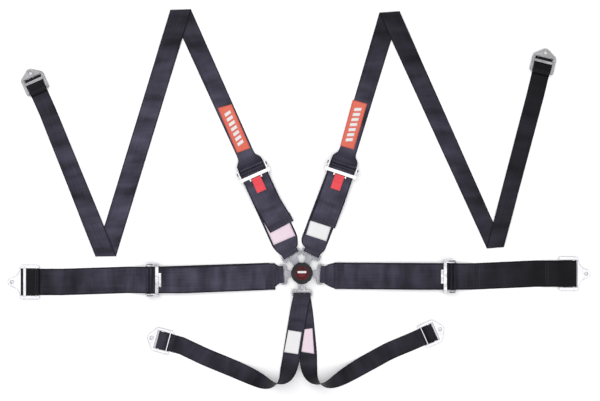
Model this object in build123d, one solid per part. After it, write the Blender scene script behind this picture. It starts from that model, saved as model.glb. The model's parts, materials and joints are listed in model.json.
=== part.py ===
from build123d import *
import math
import os

# Six-strap racing harness laid flat, millimetres, +Z up.
# Origin: centre of the cam lock's underside. +X to the right-hand lap strap, +Y to the shoulder straps.
# Directions are plan angles in degrees from +X. A part's own frame has +Y along its direction.

# Driving dimensions
WIDE_WEB = 76.0  # lap straps and the lower shoulder straps
SLIM_WEB = 50.0  # shoulder, crotch and tongue-end webbing
WEB_T = 1.5  # webbing thickness
PATCH_T = 0.6  # red shoulder patches
LABEL_T = 0.5  # information labels
GAP = 0.3  # clearance between parts that move
FOLD_LIFT = WEB_T + GAP  # how far a folded-over strap stands above the one below
PIVOT_R = 2.0  # round bars that webbing loops turn on
LOOP_IN = PIVOT_R + GAP
LOOP_OUT = LOOP_IN + WEB_T
PIVOT_Z = LOOP_OUT
PASS_Z = 2 * LOOP_OUT + GAP  # height at which a strap passes through its adjuster

# Cam lock
BASE_R = 29.0
BASE_T = 3.0
HOUSING_R = 28.0
HOUSING_IN = 23.5
HOUSING_TOP = 16.0
POST_R = 4.0
KNOB_R = 31.0
KNOB_LOW = 16.5
KNOB_TOP = 28.0
KNOB_CHAMFER = 2.5
SCALLOPS = 10
SCALLOP_R = 9.0
SCALLOP_CIRCLE = KNOB_R + 8.2
EMBLEM_R = 19.8
EMBLEM_DEEP = 1.2
EMBLEM_PROUD = 0.3
LATCH_CIRCLE = 18.5
LATCH_PIN_R = 2.6
LATCH_PLATE_Z = 13.0
LATCH_PLATE_T = 1.5
LATCH_PLATE_R = 22.5
RUN = 0.05  # radial clearance of a part that turns on the post
RIDGE_R = 8.0
RIDGE_TOP = 9.4
SCREW_ANGLES = (90.0, 225.0, 315.0)
SCREW_CIRCLE = 25.8

# Tongues
TONGUE_T = 3.0
TONGUE_Z = 5.0
TONGUE_HALF = 29.0
NECK_HALF = 9.0
TONGUE_BAR = 6.0
TONGUE_TOP = TONGUE_Z + TONGUE_T
TONGUE_MID = TONGUE_Z + TONGUE_T / 2
TONGUE_LOOP_LOW = TONGUE_Z - GAP - WEB_T
TONGUES = {
    "shoulder_tongue_left": (121.0, 64.0, 22.0),
    "shoulder_tongue_right": (64.0, 64.0, 22.0),
    "lap_tongue_left": (184.0, 58.0, 21.0),
    "lap_tongue_right": (-4.0, 58.0, 21.0),
    "crotch_tongue": (270.0, 62.0, 17.0),
}

# Adjusters, measured from the bright cross bar's centre
RAIL_IN = WIDE_WEB / 2 + 1.5
RAIL_T = 3.0
CROSS_HALF = 47.0
CROSS_LOW = PASS_Z + WEB_T + 0.5
CROSS_T = 3.0
GRIP_Y = 20.0
GRIP_R = 4.0
GRIP_Z = CROSS_LOW + GRIP_R
GRIP_SHAFT_R = 2.9
GRIP_TRAVEL = 3.0
ADJ_PIVOT_Y = 29.0
TAB_PIN_Y = -9.0
TAB_T = 1.2
TAB_HALF = 14.0
TAB_LENGTH = 41.0
TAB_PIN_R = 1.2
TAB_PIN_Z = PASS_Z + WEB_T + 0.4 + TAB_PIN_R + GAP + TAB_T
STRAIGHT_BELOW = 70.0  # the strap stays level this far below the cross bar
STRAIGHT_ABOVE = 36.0
ADJUSTERS = {
    "shoulder_left": ((-135.0, 280.0), 114.0),
    "shoulder_right": ((111.0, 287.0), 71.5),
    "lap_left": ((-415.5, -20.0), 180.0),
    "lap_right": ((410.5, -10.0), 0.0),
}

# Anchor brackets, measured from the bright middle bar's centre
BOLT_R = 5.65
PLATE_T = 3.0
PLATE_Z = PIVOT_Z - PLATE_T / 2
EYE_R = 12.0
MIDDLE_HALF = 4.5  # half the middle bar's width, and its height
SLIM_BRACKET = {"web": SLIM_WEB, "half": 34.0, "hole": 26.0, "slot": 14.0, "pivot": -23.0, "end": -32.0}
WIDE_BRACKET = {"web": WIDE_WEB, "half": 48.5, "hole": 36.0, "slot": 11.0, "pivot": -33.0, "end": -42.0}
ANCHORS = {
    "shoulder_left": ((-768.4, 549.2), 114.0, SLIM_BRACKET),
    "shoulder_right": ((693.0, 606.0), 76.5, SLIM_BRACKET),
    "lap_left": ((-795.0, -26.0), 180.0, WIDE_BRACKET),
    "lap_right": ((779.0, -2.0), 0.0, WIDE_BRACKET),
    "crotch_left": ((-405.9, -192.7), 165.0, SLIM_BRACKET),
    "crotch_right": ((372.2, -171.6), 24.0, SLIM_BRACKET),
}


def heading(angle):
    """Unit vector in plan along an angle."""
    return Vector(math.cos(math.radians(angle)), math.sin(math.radians(angle)), 0)


def plan(point, z=0.0):
    """A plan point at a height."""
    x, y, *rest = point
    return Vector(x, y, z)


def along(start, angle, distance):
    """The plan point that far from start along an angle."""
    return plan(start) + heading(angle) * distance


def place(centre, angle):
    """The location whose +Y runs along the angle."""
    return Location(plan(centre), (0, 0, angle - 90))


def flat(left, right, low, thick=WEB_T):
    """A strap's upright cross section between two plan points."""
    lift = Vector(0, 0, thick)
    a = plan(left, low)
    b = plan(right, low)
    return [a, b, b + lift, a + lift]


def across(centre, angle, width, low, thick=WEB_T):
    """A strap's cross section square to its direction."""
    side = heading(angle + 90) * (width / 2)
    return flat(plan(centre) + side, plan(centre) - side, low, thick)


def rolled(centre, angle, width, roll):
    """A cross section rolled about the strap's own direction, with its lowest edge on the floor."""
    c, s = math.cos(math.radians(roll)), math.sin(math.radians(roll))
    side = heading(angle + 90)
    up = Vector(0, 0, 1)
    wide = (side * c + up * s) * (width / 2)
    thick = (up * c - side * s) * (WEB_T / 2)
    rise = abs(s) * width / 2 + abs(c) * WEB_T / 2
    middle = plan(centre, rise)
    return [middle + wide - thick, middle - wide - thick, middle - wide + thick, middle + wide + thick]


def fold(left, right, away):
    """Cross sections of a strap turning over on a crease, from the floor layer to the layer above."""
    middle = WEB_T + GAP / 2
    out = heading(away)
    sections = []
    for step in range(7):
        turn = math.radians(-90 + 30 * step)
        reach = [middle * math.cos(turn), GAP / 2 * math.cos(turn)]
        height = [middle + middle * math.sin(turn), middle + GAP / 2 * math.sin(turn)]
        corners = []
        for end, k in ((left, 0), (right, 0), (right, 1), (left, 1)):
            corners.append(plan(end, height[k]) + out * reach[k])
        sections.append(corners)
    return sections


def between(near, far, share):
    """The plan edge of a strap that share of the way from one edge to another."""
    return [plan(near[k]) + (plan(far[k]) - plan(near[k])) * share for k in (0, 1)]


def upside(section):
    """A cross section listed from its top face, for a strap that has been turned over."""
    return section[::-1]


def ribbon(sections):
    """A solid strap through a list of four-cornered cross sections."""
    wires = [Wire.make_polygon(corners, close=True) for corners in sections]
    return Solid.make_loft(wires, True)


def label(near, far, low, thick):
    """A thin sewn label between two plan edges."""
    return ribbon([flat(*near, low, thick), flat(*far, low, thick)])


def box(x0, x1, y0, y1, z0, z1):
    """A block between two corners."""
    return Pos((x0 + x1) / 2, (y0 + y1) / 2, (z0 + z1) / 2) * Box(x1 - x0, y1 - y0, z1 - z0)


def drum(radius, z0, z1, x=0.0, y=0.0):
    """An upright cylinder between two heights."""
    return Pos(x, y, (z0 + z1) / 2) * Cylinder(radius, z1 - z0)


def rod(radius, half, y, z):
    """A cylinder across a part, along its X."""
    return Pos(0, y, z) * Rot(0, 90, 0) * Cylinder(radius, 2 * half)


def round_loop(width, inner, outer, z):
    """A sewn loop of webbing around a round bar that lies along X."""
    return rod(outer, width / 2, 0, z) - rod(inner, width / 2 + 1, 0, z)


def tongue_loop(width):
    """A sewn loop of webbing around a tongue's flat bar."""
    half_y = TONGUE_BAR / 2 + GAP
    half_z = TONGUE_T / 2 + GAP
    sleeve = Box(width, 2 * (half_y + WEB_T), 2 * (half_z + WEB_T))
    sleeve = fillet(sleeve.edges().filter_by(Axis.X), 2.4)
    return Pos(0, 0, TONGUE_MID) * (sleeve - Box(width + 2, 2 * half_y, 2 * half_z))


def mirrored_plate(right, thick):
    """A plate from the right half of its outline."""
    left = [edge.mirror(Plane.YZ) for edge in right]
    return extrude(make_face(Wire(right + left)), thick)


def tongue(reach, flare):
    """A latch tongue: a nose with a pin hole, a neck, scalloped shoulders and a webbing bar."""
    neck_end = reach - flare
    end = reach + TONGUE_BAR / 2
    shoulder = reach - 13.5
    waist = (NECK_HALF + 2.2, (neck_end + shoulder) / 2 + 1.5)
    right = [
        Line((0, 11), (5, 11)),
        Line((5, 11), (NECK_HALF, 17)),
        Line((NECK_HALF, 17), (NECK_HALF, neck_end)),
        ThreePointArc((NECK_HALF, neck_end), waist, (17, shoulder)),
        ThreePointArc((17, shoulder), (25, shoulder - 0.8), (TONGUE_HALF, shoulder + 5)),
        Line((TONGUE_HALF, shoulder + 5), (TONGUE_HALF, end - 3)),
        ThreePointArc((TONGUE_HALF, end - 3), (TONGUE_HALF - 0.9, end - 0.9), (TONGUE_HALF - 3, end)),
        Line((TONGUE_HALF - 3, end), (0, end)),
    ]
    plate = Pos(0, 0, TONGUE_Z) * mirrored_plate(right, TONGUE_T)
    window_top = reach - TONGUE_BAR / 2
    plate -= box(-25.3, 25.3, window_top - 5, window_top, 0, 20)
    return plate - drum(LATCH_PIN_R + 0.4, 0, 20, 0, LATCH_CIRCLE)


def neck_ridge():
    """The rounded ridge along the crotch tongue's neck."""
    barrel = Pos(0, 39.5, RIDGE_TOP - RIDGE_R) * Rot(90, 0, 0) * Cylinder(RIDGE_R, 15)
    return barrel & box(-NECK_HALF, NECK_HALF, 30, 50, TONGUE_Z + 1, RIDGE_TOP)


def knob():
    """The round twist knob, with finger scallops and a recess for its emblem."""
    body = drum(KNOB_R, KNOB_LOW, KNOB_TOP)
    body = chamfer(body.edges().group_by(Axis.Z)[-1], KNOB_CHAMFER)
    for step in range(SCALLOPS):
        at = heading(360 / SCALLOPS * (step + 0.5)) * SCALLOP_CIRCLE
        body -= drum(SCALLOP_R, KNOB_LOW, KNOB_TOP, at.X, at.Y)
    body -= drum(EMBLEM_R + 0.2, KNOB_TOP - EMBLEM_DEEP, KNOB_TOP)
    body -= drum(12, KNOB_LOW, KNOB_LOW + 5.5)
    body -= drum(POST_R + RUN, KNOB_LOW, KNOB_LOW + 8)
    return body


def lock_parts():
    """The fixed and turning pieces of the cam lock."""
    base = chamfer(drum(BASE_R, 0, BASE_T).edges().group_by(Axis.Z)[0], 0.5)
    housing = drum(HOUSING_R, BASE_T, HOUSING_TOP) - drum(HOUSING_IN, BASE_T, HOUSING_TOP)
    for angle, reach, flare in TONGUES.values():
        slot = box(-NECK_HALF - 0.5, NECK_HALF + 0.5, 15, 35, TONGUE_Z - GAP, TONGUE_TOP + GAP)
        housing -= place((0, 0), angle) * slot
    screws = []
    for angle in SCREW_ANGLES:
        at = heading(angle) * SCREW_CIRCLE
        base -= drum(2.4, 0, 1.5, at.X, at.Y) + drum(1.3, 0, BASE_T, at.X, at.Y)
        housing -= drum(1.3, BASE_T, 10, at.X, at.Y)
        screws.append(drum(2.3, 0.2, 1.5, at.X, at.Y) + drum(1.25, 1.5, 9.5, at.X, at.Y))
    latch = drum(LATCH_PLATE_R, LATCH_PLATE_Z, LATCH_PLATE_Z + LATCH_PLATE_T) - drum(POST_R + 0.4, 0, 20)
    for name, (angle, reach, flare) in TONGUES.items():
        at = heading(angle) * LATCH_CIRCLE
        if name != "lap_tongue_left":
            latch += drum(LATCH_PIN_R, TONGUE_TOP + GAP, LATCH_PLATE_Z, at.X, at.Y)
    rotor = drum(20, LATCH_PLATE_Z + LATCH_PLATE_T + GAP, 16.2) + drum(7, 16.2, KNOB_LOW + 5.5)
    rotor -= drum(POST_R + RUN, 0, 30)
    pin_at = heading(TONGUES["lap_tongue_left"][0]) * LATCH_CIRCLE
    spring_path = Pos(0, 0, 17.6) * Helix(pitch=1.1, height=3.0, radius=9.5)
    wire = Plane(origin=spring_path @ 0, z_dir=spring_path % 0) * Circle(0.45)
    return {
        "lock_base": base,
        "lock_housing": housing,
        "lock_post": drum(POST_R, BASE_T, KNOB_LOW + 7),
        "lock_screws": Compound(screws),
        "fixed_tongue_pin": drum(2.9, BASE_T, TONGUE_TOP + 0.2, pin_at.X, pin_at.Y),
        "return_spring": sweep(wire, spring_path),
        "latch_plate": latch,
        "cam_rotor": rotor,
        "release_knob": knob(),
        "knob_emblem": drum(EMBLEM_R, KNOB_TOP - EMBLEM_DEEP, KNOB_TOP + EMBLEM_PROUD),
    }


def adjuster_frame(with_tab):
    """Side rails, a flat cross bar over the strap and the round pivot bar, as one stamped frame."""
    outline = [(-7, 8.5), (-7, 13.5), (4, 15.5), (13, 19.3), (27, 19.3), (32.5, 9), (32.5, 2.2)]
    outline += [(31, 0.8), (26, 0.8), (19, 6)]
    side = extrude(Plane.YZ * make_face(Polyline(*outline, close=True)), RAIL_T)
    frame = Pos(RAIL_IN, 0, 0) * side + Pos(-RAIL_IN - RAIL_T, 0, 0) * side
    slot_low, slot_high = GRIP_Y - GRIP_TRAVEL - GRIP_SHAFT_R - 0.2, GRIP_Y + GRIP_SHAFT_R + 0.2
    frame -= box(-60, 60, slot_low, slot_high, GRIP_Z - GRIP_SHAFT_R - 0.2, GRIP_Z + GRIP_SHAFT_R + 0.2)
    cross = box(-CROSS_HALF, CROSS_HALF, -5, 5, CROSS_LOW, CROSS_LOW + CROSS_T)
    frame += fillet(cross.edges().filter_by(Axis.X), 1.0)
    frame += rod(PIVOT_R, RAIL_IN + RAIL_T, ADJ_PIVOT_Y, PIVOT_Z)
    if with_tab:
        for x in (-19, 16):
            frame += box(x, x + 3, TAB_PIN_Y - 3, -4, CROSS_LOW, TAB_PIN_Z + 2)
        return frame + rod(TAB_PIN_R, 17, TAB_PIN_Y, TAB_PIN_Z)
    return frame + box(-20, 20, -12.5, -4, CROSS_LOW + 0.2, CROSS_LOW + 2)


def grip_bar(wide_heads):
    """The sliding clamp bar that the strap bites on, with a round or wide head at each end."""
    bar = rod(GRIP_R, RAIL_IN - 0.5, GRIP_Y, GRIP_Z)
    bar += rod(GRIP_SHAFT_R, RAIL_IN + RAIL_T + 4, GRIP_Y, GRIP_Z)
    for side in (-1, 1):
        reach = side * (RAIL_IN + RAIL_T + 2.3)
        if wide_heads:
            head = Box(3.4, 17, 8)
            bar += Pos(reach, GRIP_Y, GRIP_Z) * fillet(head.edges().filter_by(Axis.X), 2.5)
        else:
            bar += Pos(reach, GRIP_Y, GRIP_Z) * Rot(0, 90, 0) * Cylinder(4.2, 3.4)
    return bar


def pull_tab():
    """The webbing release tab, looped on its pin."""
    outer = TAB_PIN_R + GAP + TAB_T
    loop = Pos(0, TAB_PIN_Y, 0) * round_loop(2 * TAB_HALF, TAB_PIN_R + GAP, outer, TAB_PIN_Z)
    low = TAB_PIN_Z - outer
    return loop + box(-TAB_HALF, TAB_HALF, TAB_PIN_Y - TAB_LENGTH, TAB_PIN_Y, low, low + TAB_T)


def bracket(size):
    """A bolt-in three-bar bracket: eye, web slot, raised middle bar, window and round pivot bar."""
    half, hole, slot, end = size["half"], size["hole"], size["slot"], size["end"]
    window = size["web"] / 2 + 1.5
    if size is WIDE_BRACKET:
        corner = slot
        right = [
            ThreePointArc((0, hole + EYE_R), (EYE_R * 0.71, hole + EYE_R * 0.71), (EYE_R, hole)),
            ThreePointArc((EYE_R, hole), (half * 0.52, 18), (half - 3, slot + 2)),
        ]
    else:
        corner = slot + 1
        leaves = (EYE_R * 0.574, hole + EYE_R * 0.819)
        right = [
            ThreePointArc((0, hole + EYE_R), (EYE_R * 0.3, hole + EYE_R * 0.954), leaves),
            Line(leaves, (half - 3, slot + 4.8)),
        ]
    right += [
        ThreePointArc(right[-1] @ 1, (half - 0.8, corner), (half, slot - 3)),
        Line((half, slot - 3), (half, end + 4)),
        ThreePointArc((half, end + 4), (half - 1.2, end + 1.2), (half - 4, end)),
        Line((half - 4, end), (0, end)),
    ]
    plate = Pos(0, 0, PLATE_Z) * mirrored_plate(right, PLATE_T)
    plate -= box(-window, window, MIDDLE_HALF, slot, 0, 20)
    plate -= box(-window, window, end - 1, -MIDDLE_HALF, 0, 20)
    plate -= drum(BOLT_R, 0, 20, 0, hole)
    middle = box(-window - 1, window + 1, -MIDDLE_HALF, MIDDLE_HALF, PLATE_Z, PLATE_Z + MIDDLE_HALF)
    plate += fillet(middle.edges().filter_by(Axis.X).group_by(Axis.Z)[-1], 1.6)
    return plate + rod(PIVOT_R, window + 2, size["pivot"], PIVOT_Z)


def bracket_pivot(name):
    """Plan position of the bar that a strap's end loop turns on."""
    centre, angle, size = ANCHORS[name]
    return along(centre, angle, size["pivot"])


def ending(name):
    """The last cross section of a strap and the loop around its bracket's pivot bar."""
    centre, angle, size = ANCHORS[name]
    pivot = bracket_pivot(name)
    loop = place(pivot, angle) * round_loop(size["web"], LOOP_IN, LOOP_OUT, PIVOT_Z)
    return pivot, angle, size["web"], loop


def strap_through(adjuster, tail_end, tail_angle, flares):
    """Cross sections of a strap from its tail end through its adjuster to where it lies flat."""
    centre, angle = ADJUSTERS[adjuster]
    sections = [
        across(tail_end, tail_angle, WIDE_WEB, WEB_T + 0.8),
        across(along(centre, angle, -STRAIGHT_BELOW), angle, WIDE_WEB, PASS_Z),
        across(along(centre, angle, STRAIGHT_ABOVE), angle, WIDE_WEB, PASS_Z),
    ]
    if flares:
        sections.append(across(along(centre, angle, 54), angle, SLIM_WEB, 3.9))
        sections.append(across(along(centre, angle, 72), angle, SLIM_WEB, 0))
    else:
        sections.append(across(along(centre, angle, 82), angle, WIDE_WEB, 0))
    return sections


def lower_web(tongue_name, adjuster, sections):
    """A tongue's own strap: a loop on the tongue, a taper, a level run and a loop on the pivot bar."""
    tongue_angle, reach, flare = TONGUES[tongue_name]
    bar = along((0, 0), tongue_angle, reach)
    centre, angle = ADJUSTERS[adjuster]
    pivot = along(centre, angle, ADJ_PIVOT_Y)
    start = across(bar, tongue_angle, SLIM_WEB - 2, TONGUE_LOOP_LOW)
    web = ribbon([start] + sections + [across(pivot, angle, WIDE_WEB, 0)])
    web += place(bar, tongue_angle) * tongue_loop(SLIM_WEB - 2)
    return web + place(pivot, angle) * round_loop(WIDE_WEB, LOOP_IN, LOOP_OUT, PIVOT_Z)


def shoulder_parts(side, lower, tail, tail_angle, top, bottom, red, info):
    """One shoulder strap: lower web, folded main strap in three runs, sewn labels."""
    adjuster = "shoulder_" + side
    inner = ribbon(strap_through(adjuster, tail, tail_angle, True) + [flat(*top, 0)])
    pivot, angle, width, loop = ending(adjuster)
    lands = [upside(flat(*between(bottom, top, 0.15), 0)), upside(flat(*bottom, 0))]
    middle = ribbon(fold(*top, 90) + lands)
    before = along(pivot, angle, -60)
    rises = upside(flat(*between(bottom, across(pivot, angle, width, 0), 0.22), FOLD_LIFT))
    ends = [upside(across(before, angle, width, 0)), upside(across(pivot, angle, width, 0))]
    outer = ribbon(fold(*bottom, 270) + [rises] + ends) + loop
    return {
        f"shoulder_lower_web_{side}": lower_web("shoulder_tongue_" + side, adjuster, lower),
        f"shoulder_web_inner_{side}": inner,
        f"shoulder_web_middle_{side}": middle,
        f"shoulder_web_outer_{side}": outer,
        f"shoulder_patch_{side}": label(*red, WEB_T, PATCH_T),
        f"shoulder_info_label_{side}": label(*info, WEB_T, LABEL_T),
    }


def lap_parts(side, lower, tail):
    """One lap strap: the tongue's own web and the strap from its tail to the bracket."""
    name = "lap_" + side
    centre, angle = ADJUSTERS[name]
    pivot, bracket_angle, width, loop = ending(name)
    sections = strap_through(name, tail, angle, False) + [across(pivot, bracket_angle, width, 0)]
    return {
        f"lap_lower_web_{side}": lower_web("lap_tongue_" + side, name, lower),
        f"lap_web_{side}": ribbon(sections) + loop,
    }


def crotch_leg(side, upper, turn, lower, loop_on_tongue):
    """One crotch strap: down from the tongue, standing on edge round its turn, then out to its bracket."""
    middle = len(turn) // 2
    going = [rolled(*station) for station in turn[: middle + 1]]
    coming = [rolled(*station) for station in turn[middle:]]
    pivot, angle, width, loop = ending("crotch_" + side)
    last = [rolled(pivot, angle, width, lower[-1][3])]
    top = ribbon(upper + going)
    if loop_on_tongue:
        top_angle, reach, flare = TONGUES["crotch_tongue"]
        top += place(along((0, 0), top_angle, reach), top_angle) * tongue_loop(SLIM_WEB)
    bottom = ribbon(coming + [rolled(*station) for station in lower] + last) + loop
    return {f"crotch_upper_web_{side}": top, f"crotch_lower_web_{side}": bottom}


parts = lock_parts()
for name, (angle, reach, flare) in TONGUES.items():
    plate = tongue(reach, flare)
    if name == "crotch_tongue":
        plate += neck_ridge()
    parts[name] = place((0, 0), angle) * plate
for name, (centre, angle) in ADJUSTERS.items():
    where = place(centre, angle)
    parts[f"{name}_adjuster_frame"] = where * adjuster_frame("shoulder" in name)
    parts[f"{name}_grip_bar"] = where * grip_bar("lap" in name)
    if "shoulder" in name:
        parts[f"{name}_pull_tab"] = where * pull_tab()
for name, (centre, angle, size) in ANCHORS.items():
    parts[f"{name}_bracket"] = place(centre, angle) * bracket(size)

parts |= shoulder_parts(
    "left",
    lower=[flat((-77, 62), (-11, 80), 1.4), flat((-84, 74), (-13, 107), 0)],
    tail=(-58, 134),
    tail_angle=117.9,
    top=((-378, 753), (-318, 755)),
    bottom=((-593, 49), (-533, 50)),
    red=(((-186, 344), (-148, 358)), ((-242, 473), (-202, 484))),
    info=(((-81, 80), (-19, 107)), ((-117, 163), (-56, 190))),
)
parts |= shoulder_parts(
    "right",
    lower=[flat((0, 82), (65, 63), 1.4), flat((-2, 98), (72, 80), 0)],
    tail=(59, 141),
    tail_angle=72.0,
    top=((222, 745), (281, 749)),
    bottom=((530, 72), (580, 76)),
    red=(((110, 365), (149, 354)), ((146, 497), (187, 485))),
    info=(((12, 110), (70, 91)), ((37, 190), (96, 171))),
)
parts |= lap_parts(
    "left",
    lower=[flat((-70, -34), (-70, 23), 1.2), flat((-80, -42), (-80, 26), 0), flat((-96, -47), (-96, 29), 0)],
    tail=(-78, -10),
)
parts |= lap_parts(
    "right",
    lower=[flat((74, 24), (74, -37), 1.6), flat((96, 30), (96, -46), 0)],
    tail=(95, -8),
)
parts |= crotch_leg(
    "left",
    upper=[
        flat((25, -62), (-25, -62), TONGUE_TOP + GAP),
        flat((25, -67), (-26, -67), TONGUE_TOP + GAP),
        flat((16, -112), (-34, -108), FOLD_LIFT + GAP),
        flat((-4, -238), (-54, -231), FOLD_LIFT + GAP),
    ],
    turn=[
        ((-34, -262), 260, SLIM_WEB, 6),
        ((-39, -279), 252, SLIM_WEB, 18),
        ((-44, -293), 247, SLIM_WEB, 32),
        ((-52, -306), 234, SLIM_WEB, 54),
        ((-67, -316), 204, SLIM_WEB, 90),
        ((-80, -319), 184, SLIM_WEB, 114),
        ((-94, -318), 171, SLIM_WEB, 135),
        ((-113, -311.5), 158, SLIM_WEB, 152),
        ((-143, -297.5), 154, SLIM_WEB, 167),
    ],
    lower=[((-190, -277), 156, SLIM_WEB, 180), ((-310, -227), 158, SLIM_WEB, 180)],
    loop_on_tongue=True,
)
parts |= crotch_leg(
    "right",
    upper=[
        flat((25, -67.2), (-25, -67.2), TONGUE_LOOP_LOW),
        flat((32, -112), (-18, -116), 0),
        flat((44, -236), (-6, -240), 0),
    ],
    turn=[
        ((18.5, -262), 277, SLIM_WEB, -6),
        ((21.5, -279), 283, SLIM_WEB, -22),
        ((25.5, -293), 291, SLIM_WEB, -38),
        ((33, -306), 306, SLIM_WEB, -57),
        ((48, -317), 338, SLIM_WEB, -90),
        ((64, -320), 358, SLIM_WEB, -116),
        ((82, -317), 16, SLIM_WEB, -132),
        ((102, -307), 29, SLIM_WEB, -146),
        ((123, -295), 30, SLIM_WEB, -160),
    ],
    lower=[((170, -268), 31, SLIM_WEB, -180), ((262, -217), 27, SLIM_WEB, -180)],
    loop_on_tongue=False,
)
parts["crotch_info_labels"] = Compound([
    label(((-39, -164), (-1, -170)), ((-51, -227), (-11, -233)), FOLD_LIFT + GAP + WEB_T, LABEL_T),
    label(((5, -162), (30, -159)), ((-2, -226), (35, -232)), WEB_T, LABEL_T - 0.1),
])

os.makedirs("parts", exist_ok=True)
for name, solid in parts.items():
    export_step(solid, f"parts/{name}.step")
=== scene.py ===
import json
import math
import bmesh
import bpy
import numpy as np
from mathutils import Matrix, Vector, noise


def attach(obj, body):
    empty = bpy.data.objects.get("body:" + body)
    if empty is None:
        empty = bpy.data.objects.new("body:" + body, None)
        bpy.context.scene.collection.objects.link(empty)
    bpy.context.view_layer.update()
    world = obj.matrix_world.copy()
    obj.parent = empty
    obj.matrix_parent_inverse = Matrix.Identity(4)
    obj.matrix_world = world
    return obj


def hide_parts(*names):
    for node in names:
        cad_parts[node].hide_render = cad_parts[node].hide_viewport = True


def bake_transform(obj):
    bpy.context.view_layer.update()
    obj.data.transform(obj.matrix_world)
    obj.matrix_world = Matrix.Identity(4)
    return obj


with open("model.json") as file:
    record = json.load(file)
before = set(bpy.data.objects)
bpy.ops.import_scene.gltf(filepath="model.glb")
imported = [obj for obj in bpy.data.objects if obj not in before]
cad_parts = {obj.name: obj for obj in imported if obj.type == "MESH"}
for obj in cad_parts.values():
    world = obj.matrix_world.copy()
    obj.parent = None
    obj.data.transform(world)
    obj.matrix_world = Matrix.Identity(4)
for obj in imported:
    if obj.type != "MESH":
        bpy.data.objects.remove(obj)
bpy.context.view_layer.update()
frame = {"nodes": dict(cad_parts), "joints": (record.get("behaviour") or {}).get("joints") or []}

# Lengths here are millimetres, and every mesh is scaled to metres as it is made.
MM = 0.001
WIDE = 76.0
SLIM = 50.0
WEB_T = 1.5
MID = WEB_T / 2  # height of a flat strap's middle surface
BAR_MID = MID + 0.1  # the same where a strap nears a bar
PASS_MID = 8.65  # height of a strap's middle inside its adjuster
PIVOT_Y = 29.0  # an adjuster's pivot bar, measured on from its cross bar
RIPPLE_CLEAR = 80.0  # straps lie flat when they are this near to metal parts
UP = np.array([0.0, 0.0, 1.0])
JOINTS = {joint["name"]: joint for joint in frame["joints"]}


# ---------------------------------------------------------------- plan geometry
def heading(angle):
    """Unit vector in plan along an angle in degrees."""
    return np.array([math.cos(math.radians(angle)), math.sin(math.radians(angle)), 0.0])


def local_frame(joint, lift):
    """(pivot point in mm, across, along) of a hinge whose axis lies across a strap."""
    axis = np.array(JOINTS[joint]["axis"], float) * lift
    return np.array(JOINTS[joint]["pos_m"], float) / MM, axis, np.cross(UP, axis)


HINGES = [joint for name, joint in JOINTS.items() if name.endswith(("tilt", "swing"))]
HARDWARE = [np.zeros(2)] + [np.array(joint["pos_m"][:2]) / MM for joint in HINGES]


def ripple(x, y):
    """How far a strap lifts off the floor at a plan point, away from the metal parts."""
    clear = min(math.hypot(x - at[0], y - at[1]) for at in HARDWARE)
    if clear <= RIPPLE_CLEAR:
        return 0.0
    share = min(1.0, (clear - RIPPLE_CLEAR) / RIPPLE_CLEAR)
    broad = noise.noise(Vector((x / 130.0, y / 130.0, 0.3)))
    fine = noise.noise(Vector((x / 45.0, y / 45.0, 4.7)))
    return share * share * (3 - 2 * share) * max(0.0, 0.9 * broad + 0.45 * fine + 0.3)


def distances(points):
    """Distance along a line at each of its points."""
    return np.concatenate([[0], np.cumsum(np.linalg.norm(np.diff(points, axis=0), axis=1))])


def travelled(rows):
    """Distance along a strap at each of its rows."""
    return distances((rows[:, :3] + rows[:, 3:]) / 2)


def blurred(values, radius):
    """Values along a line, smoothed over a number of steps, with both ends kept."""
    if radius < 1:
        return values
    reach = int(3 * radius)
    kernel = np.exp(-0.5 * (np.arange(-reach, reach + 1) / radius) ** 2)
    kernel /= kernel.sum()
    lead = 2 * values[0] - values[1 : reach + 1][::-1]
    trail = 2 * values[-1] - values[-reach - 1 : -1][::-1]
    padded = np.concatenate([lead, values, trail])
    columns = [np.convolve(padded[:, k], kernel, "valid") for k in range(values.shape[1])]
    return np.stack(columns, axis=1)


def run(sections, step=5.0, soften=2.0, lift=True):
    """Edges of a strap through a list of (left, right) points, softened at its bends."""
    rows = np.array([np.concatenate([left, right]) for left, right in sections], float)
    far = travelled(rows)
    count = max(int(far[-1] / step), 8 + int(3 * soften))
    at = np.linspace(0, far[-1], count + 1)
    rows = np.stack([np.interp(at, far, rows[:, k]) for k in range(6)], axis=1)
    rows = blurred(rows, soften)
    if lift:
        for row in rows:
            for k in (0, 3):
                row[k + 2] += ripple(row[k], row[k + 1])
    return rows


def square(centre, angle, width, z):
    """A strap's (left, right) points square to its direction."""
    side = heading(angle + 90) * (width / 2)
    middle = np.array([centre[0], centre[1], z])
    return middle + side, middle - side


def edge(left, right, z):
    """A strap's (left, right) points between two plan points."""
    return np.array([left[0], left[1], z]), np.array([right[0], right[1], z])


def rolled(centre, angle, width, roll):
    """(left, right) points of a strap rolled about its direction, its lower edge on the floor."""
    c, s = math.cos(math.radians(roll)), math.sin(math.radians(roll))
    side = (heading(angle + 90) * c + UP * s) * (width / 2)
    middle = np.array([centre[0], centre[1], abs(s) * width / 2 + MID])
    return middle + side, middle - side


def matched(pair, other):
    """A (left, right) pair put in the same order as another."""
    against = np.dot(pair[0] - pair[1], other[0] - other[1]) < 0
    return (pair[1], pair[0]) if against else pair


def matched_rows(rows, place, other):
    """A strap's edges in the same order as a (left, right) pair, compared at one row."""
    against = np.dot(rows[place, :3] - rows[place, 3:], other[0] - other[1]) < 0
    return np.concatenate([rows[:, 3:], rows[:, :3]], axis=1) if against else rows


def crease(left, right, away, low, high):
    """The small half round in which a strap turns over on a crease."""
    out = heading(away)
    centre, radius = (low + high) / 2, (high - low) / 2
    rows = []
    for step in range(1, 12):
        turn = math.radians(-90 + 15 * step)
        move = out * (radius * 1.3 * math.cos(turn)) + UP * (centre + radius * math.sin(turn))
        a = np.array([left[0], left[1], 0.0]) + move
        b = np.array([right[0], right[1], 0.0]) + move
        rows.append(np.concatenate([a, b]))
    return np.array(rows)


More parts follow.
